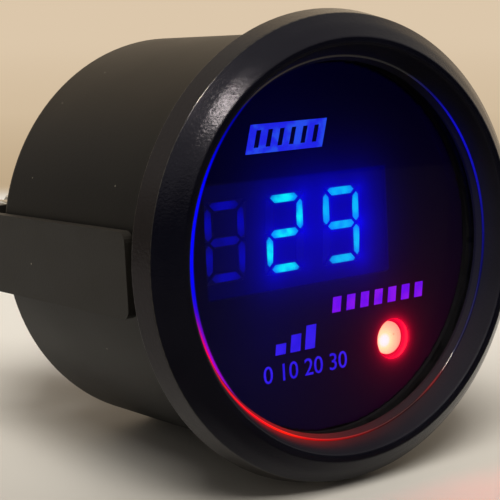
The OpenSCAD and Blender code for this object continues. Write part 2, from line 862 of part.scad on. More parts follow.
module thumb_nut() {
    head_y = nut_y + nut_collar_h;
    end_y = head_y + nut_head_h;
    difference() {
        turned() polygon([
            [stud_r + thread_fit, nut_y], [nut_collar_r, nut_y], [nut_collar_r, head_y],
            [nut_r - nut_edge, head_y], [nut_r, head_y + nut_edge], [nut_r, end_y - nut_edge],
            [nut_r - nut_edge, end_y], [stud_r + thread_fit, end_y]
        ]);
        for (i = [0 : flute_count - 1]) rotate([0, 360 * i / flute_count, 0])
            translate([nut_r, 0, 0]) rod(flute_r, head_y - over, nut_head_h + 2 * over);
    }
}

module thumb_nut_left() {
    color("#a4a6aa") translate([-stud_x, 0, 0]) thumb_nut();
}

module thumb_nut_right() {
    color("#a4a6aa") translate([stud_x, 0, 0]) thumb_nut();
}

case();
bezel_ring();
window();
window_gasket();
face_plate();
legend_diffuser();
light_box();
display_housing();
lit_segments();
unlit_segments();
display_pins();
warning_lamp();
lamp_leads();
legend_lamps();
display_board();
display_driver();
header_housing();
header_pins();
board_spacers();
board_screws();
main_board();
controller_chip();
voltage_regulator();
filter_capacitors();
chip_parts();
pressure_sensor();
sensor_tube();
hose_nipple();
nipple_nut();
nipple_seal();
wire_grommet();
wire_header();
mounting_studs();
bracket();
flat_washers();
lock_washers();
thumb_nut_left();
thumb_nut_right();
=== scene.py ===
import json
import math

import bmesh
import bpy
from mathutils import Matrix, Vector


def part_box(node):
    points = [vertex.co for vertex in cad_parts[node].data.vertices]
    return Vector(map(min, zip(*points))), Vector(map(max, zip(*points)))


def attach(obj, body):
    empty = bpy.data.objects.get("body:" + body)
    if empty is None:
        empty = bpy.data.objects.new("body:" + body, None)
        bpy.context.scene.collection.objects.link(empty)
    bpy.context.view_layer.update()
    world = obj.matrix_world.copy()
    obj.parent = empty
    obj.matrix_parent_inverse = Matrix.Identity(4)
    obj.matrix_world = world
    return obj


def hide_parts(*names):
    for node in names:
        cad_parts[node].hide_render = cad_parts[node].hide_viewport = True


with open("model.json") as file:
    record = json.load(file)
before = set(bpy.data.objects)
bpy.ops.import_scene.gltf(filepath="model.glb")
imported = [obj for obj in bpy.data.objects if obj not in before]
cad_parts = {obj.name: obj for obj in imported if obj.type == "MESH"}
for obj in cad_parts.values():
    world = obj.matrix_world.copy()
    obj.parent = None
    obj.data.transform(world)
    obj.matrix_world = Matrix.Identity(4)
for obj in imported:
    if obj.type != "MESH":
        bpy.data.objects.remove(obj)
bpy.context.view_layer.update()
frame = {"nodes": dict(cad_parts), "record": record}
nodes = frame["nodes"]
scene = bpy.context.scene
mm = 0.001
dark = (0.0, 0.0, 0.0, 1.0)
smooth = {"interpolation_type": "SMOOTHSTEP"}  # a range that eases in and out
print("frame loaded:", len(nodes), "parts")


def linear(hexColour):
    # sRGB hex to the linear colour that shaders use
    parts = [int(hexColour[i:i + 2], 16) / 255 for i in (1, 3, 5)]
    return tuple(c / 12.92 if c <= 0.04045 else ((c + 0.055) / 1.055) ** 2.4 for c in parts) + (1.0,)


def addNode(tree, kind, inputs=None, stops=(), **settings):
    # an input takes a value, a socket, or a node, whose first output it reads; stops fill a colour ramp
    node = tree.nodes.new("ShaderNode" + kind)
    for name, value in settings.items():
        setattr(node, name, value)
    for name, value in (inputs or {}).items():
        if isinstance(value, bpy.types.Node):
            value = value.outputs[0]
        if isinstance(value, bpy.types.NodeSocket):
            tree.links.new(value, node.inputs[name])
        else:
            node.inputs[name].default_value = value
    points = node.color_ramp.elements if stops else ()
    while len(points) < len(stops):
        points.new(0.5)
    for point, (position, colour) in zip(points, stops):
        point.position = position
        point.color = (*colour[:3], 1.0)
    return node


def newMaterial(name):
    material = bpy.data.materials.new(name)
    material.use_nodes = True
    material.node_tree.nodes.clear()
    return material, material.node_tree


def perMm(size):
    # texture scale at which one cell of a pattern is size millimetres wide
    return 1 / (size * mm)


spillLook = {
    # painted light on the bezel, as emission: the display's and the lamp's light, and a faint grey glow over
    # the upper left of the bead; degrees round the axis and the linear colour there
    "bead": (
        (-180, (0.03, 0.015, 0.04)), (-160, (0.2, 0.02, 0.1)), (-148, (0.6, 0.0, 0.02)),
        (-130, (1.2, 0.0, 0.01)), (-118, (1.2, 0.01, 0.0)), (-108, (0.6, 0.0, 0.0)), (-92, (0.25, 0.0, 0.0)),
        (-80, (0.05, 0.0, 0.0)), (-64, (0.01, 0.0, 0.0)), (-54, (0.14, 0.0, 0.0)), (-46, (0.0, 0.0, 0.01)),
        (-15, (0.0, 0.0, 0.06)), (5, (0.0, 0.0, 0.18)), (22, (0.0, 0.0, 0.4)), (34, (0.0, 0.0, 0.5)),
        (50, (0.0, 0.0, 0.1)), (62, (0.01, 0.01, 0.01)), (120, (0.025, 0.02, 0.018)),
        (140, (0.035, 0.026, 0.022)), (165, (0.035, 0.022, 0.025)), (180, (0.03, 0.015, 0.04))),
    "wall": (
        (-180, (0.0, 0.0, 0.03)), (-150, (0.08, 0.0, 0.01)), (-126, (0.3, 0.0, 0.0)),
        (-112, (0.18, 0.003, 0.0)), (-92, (0.05, 0.001, 0.0)), (-70, (0.014, 0.001, 0.0)),
        (-50, (0.006, 0.0, 0.0)), (-20, (0.0, 0.0, 0.004)), (30, (0.0, 0.0, 0.012)),
        (60, (0.0, 0.0, 0.0)), (140, (0.0, 0.0, 0.01)), (180, (0.0, 0.0, 0.03))),
    # where each part of the bezel starts and is full: by radius, and by place along the axis, in mm
    "parts": {"lit": ((24.4, 22.9), (-5.1, -2.45)), "wall": ((24.5, 24.2), (-5.3, -4.9)),
              "band": ((27.6, 27.9), (-2.9, -2.75))},
    "wallDull": 0.55,  # roughness that the inner wall adds
}


def colourRound(tree, split, stops):
    # colour by the angle round the gauge's axis
    angle = addNode(tree, "Math", {0: split["Z"], 1: split["X"]}, operation="ARCTAN2")
    share = addNode(tree, "Math", {0: angle, 1: 2 * math.pi}, operation="DIVIDE")
    turn = addNode(tree, "Math", {0: share, 1: 0.5}, operation="ADD")
    return addNode(tree, "ValToRGB", {0: turn}, [(degrees / 360 + 0.5, colour) for degrees, colour in stops])


def bezelParts(tree, place):
    # painted coloured light, as emission, on the sloping inner wall, and shares that pick out that wall and
    # the side band
    split = addNode(tree, "SeparateXYZ", {0: place}).outputs
    flat = addNode(tree, "CombineXYZ", {0: split["X"], 2: split["Z"]})
    away = addNode(tree, "VectorMath", {0: flat}, operation="LENGTH").outputs["Value"]
    share = {}
    for part, spans in spillLook["parts"].items():
        across, along = [
            addNode(tree, "MapRange", {
                "Value": source, "From Min": start * mm, "From Max": end * mm}, **smooth)
            for source, (start, end) in zip((away, split["Y"]), spans)]
        share[part] = addNode(tree, "Math", {0: across, 1: along}, operation="MULTIPLY")
    light = addNode(tree, "Mix", {0: share["lit"], 6: dark, 7: colourRound(tree, split, spillLook["wall"])},
                    data_type="RGBA").outputs[2]
    return light, share["wall"], share["band"]


grainLook = {
    # shared by all finishes: where the second tone begins and is full, detail of the noises, size of dust
    "patchFrom": 0.35, "patchTo": 0.65, "patchDetail": 4.0, "grainDetail": 3.0, "grainRoughness": 0.6,
    "streakDetail": 2.0, "dustSize": 0.05, "dustEdge": 0.02,
}


def finishedSurface(name, look):
    # one moulded, painted or metal finish: two tones in soft patches, fine grain, dust and streaks
    material, tree = newMaterial(name)
    place = addNode(tree, "TexCoord").outputs["Object"]
    patches = addNode(tree, "TexNoise", {
        "Vector": place, "Scale": perMm(look["patch"]), "Detail": grainLook["patchDetail"]})
    share = addNode(tree, "MapRange", {
        "Value": patches, "From Min": grainLook["patchFrom"], "From Max": grainLook["patchTo"]}, **smooth)
    tones = [linear(tone) for tone in look["tones"]]
    colour = addNode(tree, "Mix", {0: share, 6: tones[0], 7: tones[1]}, data_type="RGBA").outputs[2]
    if "dust" in look:
        cells = addNode(tree, "TexVoronoi", {"Vector": place, "Scale": perMm(look["dustGap"])}).outputs
        size = grainLook["dustSize"]
        spot = addNode(tree, "MapRange", {
            "Value": cells["Distance"], "From Min": size, "From Max": size / 2}, **smooth)
        random = addNode(tree, "SeparateColor", {"Color": cells["Color"]}).outputs["Red"]
        least = 1 - look["dustShare"]
        pick = addNode(tree, "MapRange", {
            "Value": random, "From Min": least, "From Max": least + grainLook["dustEdge"]}, **smooth)
        dusted = addNode(tree, "Math", {0: spot, 1: pick}, operation="MULTIPLY")
        colour = addNode(tree, "Mix", {0: dusted, 6: colour, 7: linear(look["dust"])},
                         data_type="RGBA").outputs[2]
    grain = addNode(tree, "TexNoise", {
        "Vector": place, "Scale": perMm(look["grain"]), "Detail": grainLook["grainDetail"],
        "Roughness": grainLook["grainRoughness"]})
    if "streak" in look:
        stretched = addNode(tree, "Mapping", {"Vector": place, "Scale": look["streak"]})
        lines = addNode(tree, "TexNoise", {
            "Vector": stretched, "Scale": perMm(look["grain"] * 2), "Detail": grainLook["streakDetail"]})
        grain = addNode(tree, "Math", {0: lines, 1: grain}, operation="MAXIMUM")
    rough = addNode(tree, "MapRange", {
        "Value": patches, "To Min": look["rough"] - look["roughSpan"],
        "To Max": look["rough"] + look["roughSpan"]})
    bump = addNode(tree, "Bump", {"Height": grain, "Distance": look["depth"] * mm})
    surface = {"Base Color": colour, "Roughness": rough, "Normal": bump, "Metallic": look.get("metal", 0.0),
               "Specular IOR Level": look.get("specular", 0.5)}
    if "band" in look:  # the bezel: it also carries the display's and the lamp's light, painted as emission
        light, wall, band = bezelParts(tree, place)
        dull = addNode(tree, "Math", {0: wall, 1: spillLook["wallDull"]}, operation="MULTIPLY")
        surface["Roughness"] = addNode(tree, "Math", {0: rough, 1: dull}, operation="ADD")
        surface["Base Color"] = addNode(tree, "Mix", {0: band, 6: colour, 7: linear(look["band"])},
                                        data_type="RGBA").outputs[2]
        # the bluish specular tint paints a blue cast of the display's light into the bezel's reflections
        surface.update({
            "Specular Tint": linear(look["tint"]), "Emission Color": light, "Emission Strength": 1.0})
    addNode(tree, "OutputMaterial", {"Surface": addNode(tree, "BsdfPrincipled", surface)})
    return material


finishes = {
    # ABS, moulded and lightly textured: soft black-brown with handling dust
    "texturedBlackAbs": {
        "tones": ("#080707", "#0b0a09"), "patch": 9, "grain": 0.3, "depth": 0.014, "rough": 0.4,
        "roughSpan": 0.05, "specular": 0.14, "dust": "#8c857a", "dustGap": 2.6, "dustShare": 0.35,
    },
    # ABS with satin paint: blue-black, the blue a painted cast of the display's light, also in the specular
    # tint; a fine orange peel that breaks the highlight into grains, a warm band
    "satinPaintedAbs": {
        "tones": ("#06060d", "#090910"), "patch": 7, "grain": 0.36, "depth": 0.03, "rough": 0.2,
        "roughSpan": 0.03, "specular": 0.36, "tint": "#e4e6ff", "band": "#15110e",
        "dust": "#9a948a", "dustGap": 3.0, "dustShare": 0.25,
    },
    # powder painted steel strip: flat black, slightly pebbled
    "powderPaintedSteel": {
        "tones": ("#12100e", "#151310"), "patch": 6, "grain": 0.35, "depth": 0.016, "rough": 0.55,
        "roughSpan": 0.06, "specular": 0.3, "dust": "#8c857a", "dustGap": 3.4, "dustShare": 0.3,
    },
    # screen printed polyester film: very dark navy, satin
    "printedPolyester": {
        "tones": ("#030308", "#04040b"), "patch": 10, "grain": 0.5, "depth": 0.002, "rough": 0.4,
        "roughSpan": 0.04, "specular": 0.12,
    },
    # potted display moulding: dark blue epoxy face
    "blueEpoxy": {
        "tones": ("#010110", "#020216"), "patch": 5, "grain": 0.4, "depth": 0.002, "rough": 0.35,
        "roughSpan": 0.05, "specular": 0.12,
    },
    # nitrile rubber, moulded: dull black with dust in its pores
    "nitrileRubber": {
        "tones": ("#0e0e0e", "#141414"), "patch": 3, "grain": 0.25, "depth": 0.01, "rough": 0.72,
        "roughSpan": 0.08, "dust": "#6f6b64", "dustGap": 2.0, "dustShare": 0.3,
    },
    # silicone, extruded: milky white, slightly greasy
    "milkySilicone": {
        "tones": ("#d9d5cb", "#cfcabf"), "patch": 3, "grain": 0.4, "depth": 0.004, "rough": 0.4,
        "roughSpan": 0.05,
    },
    # polycarbonate diffuser, moulded: cold white and matt
    "whitePolycarbonate": {
        "tones": ("#e4e8f0", "#dadfe8"), "patch": 8, "grain": 0.5, "depth": 0.003, "rough": 0.5,
        "roughSpan": 0.05,
    },
    # nylon wire header, moulded: warm, slightly yellow white
    "naturalNylon": {
        "tones": ("#e4dcc8", "#dbd2bc"), "patch": 4, "grain": 0.4, "depth": 0.004, "rough": 0.5,
        "roughSpan": 0.05,
    },
    # glass filled moulding of the light box and the chips: grey-black and dry
    "glassFilledBlack": {
        "tones": ("#141415", "#1a1a1b"), "patch": 3, "grain": 0.2, "depth": 0.008, "rough": 0.62,
        "roughSpan": 0.06,
    },
    # turned brass: slightly dulled, with fine tool lines
    "turnedBrass": {
        "tones": ("#c79a4a", "#b4883c"), "patch": 3, "grain": 0.12, "depth": 0.002, "rough": 0.3,
        "roughSpan": 0.08, "metal": 1.0, "streak": (1, 12, 1),
    },
    # zinc plated steel: pale blue-grey with a dull spangle
    "zincPlatedSteel": {
        "tones": ("#b9bcc0", "#a2a6ab"), "patch": 1.6, "grain": 0.15, "depth": 0.002, "rough": 0.34,
        "roughSpan": 0.1, "metal": 1.0,
    },
    # nickel plated, knurled steel: brighter and smoother than the zinc
    "nickelPlatedSteel": {
        "tones": ("#cfccc6", "#bdbab4"), "patch": 2.2, "grain": 0.12, "depth": 0.0015, "rough": 0.22,
        "roughSpan": 0.06, "metal": 1.0,
    },
    # tinned copper pins: bright, cold silver
    "tinnedCopper": {
        "tones": ("#cfd1d3", "#bdbfc2"), "patch": 1.2, "grain": 0.1, "depth": 0.001, "rough": 0.3,
        "roughSpan": 0.08, "metal": 1.0,
    },
    # capacitor can, drawn aluminium: silver with lines along its height
    "drawnAluminium": {
        "tones": ("#d2d4d6", "#c4c6c9"), "patch": 3, "grain": 0.12, "depth": 0.001, "rough": 0.28,
        "roughSpan": 0.05, "metal": 1.0, "streak": (1, 10, 1),
    },
    # fired ceramic body of the chip resistors: sandy and matt
    "firedCeramic": {
        "tones": ("#b39a78", "#a48b6a"), "patch": 1, "grain": 0.1, "depth": 0.003, "rough": 0.6,
        "roughSpan": 0.05,
    },
    # glass epoxy board under green solder mask: glossy with the weave just showing
    "greenSolderMask": {
        "tones": ("#0f4a2a", "#0b3d22"), "patch": 2, "grain": 0.5, "depth": 0.006, "rough": 0.3,
        "roughSpan": 0.05,
    },
}
madeFinish = {name: finishedSurface(name, look) for name, look in finishes.items()}

digits = {"centre": (-6.15, 2.45), "pitch": 8.75, "size": (5.8, 9.5), "bar": 1.15}  # the first lit figure, mm


def barDistances(tree, place):
    # inside a figure: how far along its bar a point is from the nearest corner, and how far off its middle
    half, tall = [(side - digits["bar"]) / 2 * mm for side in digits["size"]]
    pitch = digits["pitch"] * mm
    split = addNode(tree, "SeparateXYZ", {0: place}).outputs
    start = digits["centre"][0] * mm - pitch * 2.5  # a whole number of figures left of the first
    along = addNode(tree, "Math", {0: split["X"], 1: start}, operation="SUBTRACT")
    inFigure = addNode(tree, "Math", {0: along, 1: pitch}, operation="MODULO")
    offCentre = addNode(tree, "Math", {0: inFigure, 1: pitch / 2}, operation="SUBTRACT")
    across = addNode(tree, "Math", {0: offCentre}, operation="ABSOLUTE")
    aboveCentre = addNode(tree, "Math", {0: split["Z"], 1: digits["centre"][1] * mm}, operation="SUBTRACT")
    height = addNode(tree, "Math", {0: aboveCentre}, operation="ABSOLUTE")
    inward = addNode(tree, "Math", {0: half, 1: across}, operation="SUBTRACT")
    fromTop = addNode(tree, "Math", {0: tall, 1: height}, operation="SUBTRACT")
    level = addNode(tree, "Math", {0: height, 1: fromTop}, operation="MINIMUM")
    offUpright = addNode(tree, "Math", {0: inward}, operation="ABSOLUTE")
    offLevel = addNode(tree, "Math", {0: level}, operation="ABSOLUTE")
    line = addNode(tree, "Math", {0: offUpright, 1: offLevel}, operation="MINIMUM")
    farther = addNode(tree, "Math", {0: inward, 1: level}, operation="MAXIMUM")
    corner = addNode(tree, "Math", {0: farther, 1: line}, operation="SUBTRACT")
    return corner, line, split["X"]


lightLook = {
    # blue diodes in clear epoxy: they clip to cyan for the eye while the light they throw is pure blue
    "litBarEpoxy": {"body": "#000820", "bright": "#00f4c8", "dim": "#0094b4", "strength": 1.25, "cloud": 1.8,
                    "weakFrom": -2.4, "weakening": 0.6, "until": 20},
    # the first figure is off; its neighbours' scattered light is painted on it as emission
    "unlitBarEpoxy": {"body": "#010110", "bright": "#0000a4", "dim": "#000078", "strength": 1.0, "cloud": 2.5,
                      "weakFrom": 20, "weakening": 0.0, "until": -10.5},
    # red epoxy of the lamp's own solid, which the detailed lens replaces
    "redLeadEpoxy": {"body": "#7a0804", "bright": "#e00018", "dim": "#c00010", "strength": 0.8, "cloud": 1.6},
    # painted light: red light of the lamp on the wall of its hole, as emission
    "redHoleEdge": {"body": "#300404", "bright": "#ff0026", "dim": "#e80020", "strength": 1.0, "cloud": 0.8},
}
barLook = {
    # how the light of a bar dies out, in mm: off its middle line, towards its ends, and along the row
    "halfWidth": 0.42, "edge": 0.1, "ends": 0.08, "endsFull": 0.33, "coreFrom": 0.3, "coreFull": 1.5,
    "weakOver": 1.5, "untilOver": 0.5,
}
epoxyLook = {"cloudFrom": 0.22, "cloudFull": 0.55, "cloudDetail": 2.0, "rough": 0.25, "ior": 1.49}


def glowingPlastic(name, look):
    # a light bar or lamp: cloudy emission; a bar is brighter where its chip sits and dies out at its rim
    material, tree = newMaterial(name)
    place = addNode(tree, "TexCoord").outputs["Object"]
    cloud = addNode(tree, "TexNoise", {
        "Vector": place, "Scale": perMm(look["cloud"]), "Detail": epoxyLook["cloudDetail"]})
    share = addNode(tree, "MapRange", {
        "Value": cloud, "From Min": epoxyLook["cloudFrom"], "From Max": epoxyLook["cloudFull"]}, **smooth)
    lit = 1.0
    if "until" in look:
        corner, line, sideways = barDistances(tree, place)
        spans = {
            "core": (corner, barLook["coreFrom"], barLook["coreFull"]),
            "weaker": (sideways, look["weakFrom"], look["weakFrom"] + barLook["weakOver"]),
            "width": (line, barLook["halfWidth"] + barLook["edge"], barLook["halfWidth"]),
            "length": (corner, barLook["ends"], barLook["endsFull"]),
            "row": (sideways, look["until"] + barLook["untilOver"], look["until"]),
        }
        part = {key: addNode(tree, "MapRange", {
            "Value": source, "From Min": start * mm, "From Max": end * mm}, **smooth)
            for key, (source, start, end) in spans.items()}
        core = addNode(tree, "Math", {0: share, 1: part["core"]}, operation="MULTIPLY")
        loss = addNode(tree, "Math", {0: part["weaker"], 1: look["weakening"]}, operation="MULTIPLY")
        kept = addNode(tree, "Math", {0: 1.0, 1: loss}, operation="SUBTRACT")
        share = addNode(tree, "Math", {0: core, 1: kept}, operation="MULTIPLY")
        inBar = addNode(tree, "Math", {0: part["width"], 1: part["length"]}, operation="MULTIPLY")
        lit = addNode(tree, "Math", {0: inBar, 1: part["row"]}, operation="MULTIPLY")
    tone = addNode(tree, "Mix", {0: share, 6: linear(look["dim"]), 7: linear(look["bright"])},
                   data_type="RGBA").outputs[2]
    light = addNode(tree, "Mix", {0: lit, 6: dark, 7: tone}, data_type="RGBA").outputs[2]
    shader = addNode(tree, "BsdfPrincipled", {
        "Base Color": linear(look["body"]), "Roughness": epoxyLook["rough"], "IOR": epoxyLook["ior"],
        "Emission Color": light, "Emission Strength": look["strength"]})
    addNode(tree, "OutputMaterial", {"Surface": shader})
    return material


glowing = {name: glowingPlastic(name, look) for name, look in lightLook.items()}

windowLook = {"tint": (0.86, 0.86, 0.9, 1.0), "rough": 0.02, "faceOn": 0.015, "rise": 0.96, "power": 5.0}


def smokedAcrylic():
    # cast acrylic, smoked: lets the lit face through a little darkened and mirrors the room weakly
    material, tree = newMaterial("smokedAcrylic")
    facing = addNode(tree, "LayerWeight", {"Blend": 0.5}).outputs["Facing"]
    steep = addNode(tree, "Math", {0: facing, 1: windowLook["power"]}, operation="POWER")
    risen = addNode(tree, "Math", {0: steep, 1: windowLook["rise"]}, operation="MULTIPLY")
    share = addNode(tree, "Math", {0: risen, 1: windowLook["faceOn"]}, operation="ADD")
    clear = addNode(tree, "BsdfTransparent", {"Color": windowLook["tint"]})
    gloss = addNode(tree, "BsdfGlossy", {"Color": (1.0, 1.0, 1.0, 1.0), "Roughness": windowLook["rough"]})
    blend = addNode(tree, "MixShader", {0: share, 1: clear, 2: gloss})
    addNode(tree, "OutputMaterial", {"Surface": blend})
    return material


slotMaterial = {
    "case_plastic": "texturedBlackAbs", "bezel_plastic": "satinPaintedAbs", "black_rubber": "nitrileRubber",
    "printed_film": "printedPolyester", "white_plastic": "whitePolycarbonate",
    "dark_moulding": "glassFilledBlack", "display_moulding": "blueEpoxy", "tinned_steel": "tinnedCopper",
    "green_board": "greenSolderMask", "chip_black": "glassFilledBlack", "brass": "turnedBrass",
    "zinc_steel": "zincPlatedSteel", "capacitor_can": "drawnAluminium", "ceramic_chip": "firedCeramic",
    "silicone": "milkySilicone", "nylon": "naturalNylon", "black_painted_steel": "powderPaintedSteel",
    "nickel_steel": "nickelPlatedSteel", "smoked_acrylic": "smokedAcrylic", "lit_blue": "litBarEpoxy",
    "unlit_blue": "unlitBarEpoxy", "lamp_red": "redLeadEpoxy",
}
materialOf = {**madeFinish, **glowing, "smokedAcrylic": smokedAcrylic()}
slotOfNode = {part["node"]: part["material_slot"] for part in frame["record"]["subparts"]}
for name, obj in nodes.items():
    obj.data.materials.clear()
    obj.data.materials.append(materialOf[slotMaterial[slotOfNode[name]]])
print("materials made:", len(bpy.data.materials))


def makePiece(name, bm, material):
    bmesh.ops.recalc_face_normals(bm, faces=bm.faces)
    mesh = bpy.data.meshes.new(name)
    bm.to_mesh(mesh)
    bm.free()
    piece = bpy.data.objects.new(name, mesh)
    scene.collection.objects.link(piece)
    mesh.materials.append(material)
    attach(piece, "case")
    return piece


def spinProfile(bm, points, centre, steps, closed=False):
    # turned shape: radius and place along Y of each point, in mm, round an axis through centre in x and z
    line = [bm.verts.new(((centre[0] + radius) * mm, place * mm, centre[1] * mm)) for radius, place in points]
    pairs = zip(line, line[1:] + line[:1]) if closed else zip(line, line[1:])
    edges = [bm.edges.new(pair) for pair in pairs]
    bmesh.ops.spin(bm, geom=line + edges, cent=(centre[0] * mm, 0, centre[1] * mm), axis=(0, 1, 0),
                   angle=2 * math.pi, steps=steps, use_merge=True)
    bmesh.ops.remove_doubles(bm, verts=bm.verts, dist=0.0001 * mm)


lampLook = {
    # diffused lens: a nearly flat front, white-hot over the die, warm across and red down its side
    "radius": 2.1, "edge": 0.45, "edgeSteps": 6, "dome": 0.08, "domeAt": (0.6, 0.4), "steps": 64,
    "flange": 0.4, "flangeHeight": 0.9, "rough": 0.3, "ior": 1.54,
    "hotPlace": (-0.95, -0.15), "reach": 3.2,
    "speck": (0.62, 0.42), "speckRadius": 0.22, "speckShare": 0.6, "speckTone": "#e8663c",
    "tones": ((0.0, "#ffffff"), (0.2, "#fffdf0"), (0.31, "#fff2ae"), (0.5, "#ffd59e"), (0.75, "#ffb48c"),
              (0.95, "#ff9c80")),
    "side": "#ff0828", "sideFrom": 0.35, "sideTo": 0.75, "body": "#5a0804", "strength": 1.25,
    "sleeve": {"outer": 2.595, "inner": 2.53, "front": 0.83, "back": 3.0},  # sleeve in the lamp's hole that carries the lamp's painted red light
}


def lensEpoxy(centre, front):
    # diffused red epoxy with the die shining through: the heat of the colour falls off from one side
    look = lampLook
    material, tree = newMaterial("diffusedRedEpoxy")
    place = addNode(tree, "TexCoord").outputs["Object"]
    flat = addNode(tree, "VectorMath", {0: place, 1: (1, 0, 1)}, operation="MULTIPLY")
    far = {}
    for key in ("hotPlace", "speck"):
        middle = ((centre[0] + look[key][0]) * mm, 0, (centre[2] + look[key][1]) * mm)
        far[key] = addNode(tree, "VectorMath", {0: flat, 1: middle}, operation="DISTANCE").outputs["Value"]
    away = addNode(tree, "Math", {0: far["hotPlace"], 1: look["reach"] * mm}, operation="DIVIDE")
    hot = addNode(tree, "ValToRGB", {0: away}, [(position, linear(tone)) for position, tone in look["tones"]])
    spot = addNode(tree, "MapRange", {
        "Value": far["speck"], "From Min": look["speckRadius"] * mm, "From Max": 0.0}, **smooth)
    speck = addNode(tree, "Math", {0: spot, 1: look["speckShare"]}, operation="MULTIPLY")
    face = addNode(tree, "Mix", {0: speck, 6: hot, 7: linear(look["speckTone"])}, data_type="RGBA").outputs[2]
    side = addNode(tree, "MapRange", {
        "Value": addNode(tree, "SeparateXYZ", {0: place}).outputs["Y"],
        "From Min": (front + look["sideFrom"]) * mm, "From Max": (front + look["sideTo"]) * mm}, **smooth)
    light = addNode(tree, "Mix", {0: side, 6: face, 7: linear(look["side"])}, data_type="RGBA").outputs[2]
    shader = addNode(tree, "BsdfPrincipled", {
        "Base Color": linear(look["body"]), "Roughness": look["rough"], "IOR": look["ior"],
        "Emission Color": light, "Emission Strength": look["strength"]})
    addNode(tree, "OutputMaterial", {"Surface": shader})
    return material


def makeLamp():
    look = lampLook
    low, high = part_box("warning_lamp")
    centre = [(a + b) / 2 / mm for a, b in zip(low, high)]
    front, back = low[1] / mm, high[1] / mm
    radius, edge = look["radius"], look["edge"]
    flat, flangeFront = radius - edge, back - look["flangeHeight"]
    dome, (alongDome, upDome) = look["dome"], look["domeAt"]
    turns = [math.pi / 2 * i / look["edgeSteps"] for i in range(1, look["edgeSteps"] + 1)]
    corner = [(flat + edge * math.sin(a), front + dome + edge * (1 - math.cos(a))) for a in turns]
    bm = bmesh.new()
    spinProfile(bm, [(0, front), (flat * alongDome, front + dome * upDome), (flat, front + dome), *corner,
                     (radius, flangeFront), (radius + look["flange"], flangeFront),
                     (radius + look["flange"], back), (0, back)], (centre[0], centre[2]), look["steps"])
    lens = makePiece("lampLens", bm, lensEpoxy(centre, front))
    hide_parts("warning_lamp")
    sleeve = look["sleeve"]
    bm = bmesh.new()
    spinProfile(bm, [(sleeve["outer"], sleeve["front"]), (sleeve["outer"], sleeve["back"]),
                     (sleeve["inner"], sleeve["back"]), (sleeve["inner"], sleeve["front"])],
                (centre[0], centre[2]), look["steps"], closed=True)
    makePiece("lampHoleEdge", bm, glowing["redHoleEdge"])
    return round(centre[0], 1), round(centre[2], 1)


beadLook = {
    # fine rolled edges of the bezel: radius of each line, its place along the axis and its thickness
    "ledgeBead": {"line": 23.04, "place": -2.42, "radius": 0.15},
    "creaseBead": {"line": 27.924, "place": -2.792, "radius": 0.12},
    "partingLine": {"line": 28.56, "place": -0.13, "radius": 0.1},
    "steps": 320, "sides": 12,
    "inside": {"tone": "#0a0a10", "rough": 0.12}, "outside": {"tone": "#1c1916", "rough": 0.14},
    "roughSpan": 0.06, "patch": 1.5, "specular": 0.8,
}


def glossyEdge(name, look, spill=()):
    # the same moulded plastic, left glossy by the tool: it picks up every light as a thin line
    material, tree = newMaterial(name)
    place = addNode(tree, "TexCoord").outputs["Object"]
    uneven = addNode(tree, "TexNoise", {"Vector": place, "Scale": perMm(beadLook["patch"]), "Detail": 3.0})
    worn = addNode(tree, "MapRange", {"Value": uneven, "To Min": look["rough"] - beadLook["roughSpan"],
                                      "To Max": look["rough"] + beadLook["roughSpan"]})
    surface = {
        "Base Color": linear(look["tone"]), "Roughness": worn, "Specular IOR Level": beadLook["specular"]}
    if spill:
        # painted light: the display's and the lamp's light, and a faint grey glow, as coloured emission along
        # the bead
        split = addNode(tree, "SeparateXYZ", {0: place}).outputs
        surface.update({"Emission Color": colourRound(tree, split, spill), "Emission Strength": 1.0})
    addNode(tree, "OutputMaterial", {"Surface": addNode(tree, "BsdfPrincipled", surface)})
    return material


def makeBeads():
    inside = glossyEdge("glossyMouldedAbs", beadLook["inside"], spillLook["bead"])
    outside = glossyEdge("polishedEdgeAbs", beadLook["outside"])
    for name, material in (("ledgeBead", inside), ("creaseBead", outside), ("partingLine", outside)):
        look = beadLook[name]
        bm = bmesh.new()
        made = bmesh.ops.create_circle(bm, segments=beadLook["sides"], radius=look["radius"] * mm)["verts"]
        bmesh.ops.translate(bm, vec=(look["line"] * mm, look["place"] * mm, 0), verts=made)
        bmesh.ops.spin(bm, geom=list(bm.verts) + list(bm.edges), cent=(0, 0, 0), axis=(0, 1, 0),
                       angle=2 * math.pi, steps=beadLook["steps"], use_merge=True)
        bead = makePiece(name, bm, material)
        for face in bead.data.polygons:
            face.use_smooth = True


lampCentre = makeLamp()  # x and z, to a tenth of a mm
makeBeads()
print("lamp lens and beads made")

studLook = {
    # M4 thread rolled on the studs: radii, crest and root width, steps in a turn, and where along Y it starts
    "major": 2.0, "core": 1.66, "pitch": 0.7, "crest": 0.12, "root": 0.62, "steps": 28, "start": 39.2,
    "sunk": 0.05, "runIn": 0.3, "tip": 0.1, "chamfer": 0.5, "headHeight": 1.2, "sides": 48,
}


def limitRadius(bm, centre, end):
    # the end of the thread runs out over the stud's chamfer
    for v in bm.verts:
        x, z = v.co.x - centre[0] * mm, v.co.z - centre[1] * mm
        away = math.hypot(x, z)
        room = studLook["major"] * mm - max(0.0, v.co.y - (end - studLook["chamfer"]) * mm)
        if away > room:
            v.co.x, v.co.z = centre[0] * mm + x * room / away, centre[1] * mm + z * room / away


